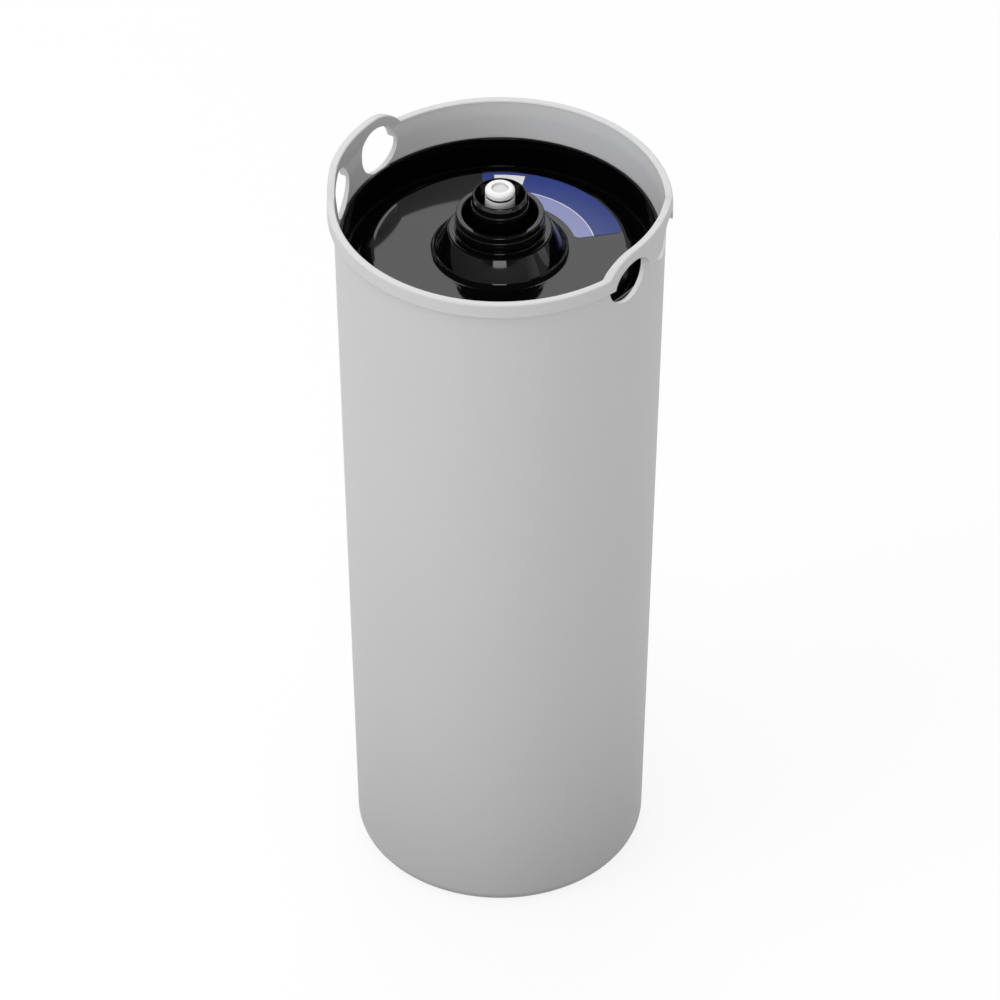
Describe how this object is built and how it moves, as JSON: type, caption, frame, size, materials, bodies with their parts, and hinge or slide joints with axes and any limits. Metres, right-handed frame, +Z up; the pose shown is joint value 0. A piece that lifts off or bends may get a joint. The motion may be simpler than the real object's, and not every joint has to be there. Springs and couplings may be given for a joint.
{
  "type": "water filter cartridge",
  "caption": "Tapered grey canister with pierced lifting ears, a recessed black lid and a stepped plug-in nozzle; treats drinking water through resin and carbon beds.",
  "frame": {"origin": "middle of the canister's standing face", "axes": "+Z up along the canister and its nozzle, lifting ears on +X and -X"},
  "size_m": [0.1844, 0.1844, 0.4497],
  "materials": {
    "canister_plastic": "light grey moulded polypropylene, satin",
    "lid_plastic": "polished black moulding",
    "label_film": "printed film in blue and pale violet fields",
    "pipe_plastic": "white moulded plastic",
    "inner_plastic": "natural polypropylene",
    "fleece": "white needled fleece",
    "resin_beads": "amber ion exchange beads",
    "carbon_grains": "black activated carbon grains",
    "seal_rubber": "black seal rubber"
  },
  "bodies": {
    "root": {"canister": "canister_plastic", "lid": "lid_plastic", "label": "label_film", "inlet_pipe": "pipe_plastic", "inlet_valve": "pipe_plastic", "bypass_pipe": "inner_plastic", "bypass_diffuser": "inner_plastic", "bottom_strainer": "inner_plastic", "separator_plate": "inner_plastic", "upper_strainer": "inner_plastic", "bottom_fleece": "fleece", "separator_fleece": "fleece", "upper_fleece": "fleece", "resin_bed": "resin_beads", "carbon_bed": "carbon_grains", "nipple_o_ring": "seal_rubber", "cup_o_ring": "seal_rubber", "shoulder_o_ring": "seal_rubber", "bypass_o_ring": "seal_rubber", "foot_o_ring": "seal_rubber"}
  },
  "joints": []
}
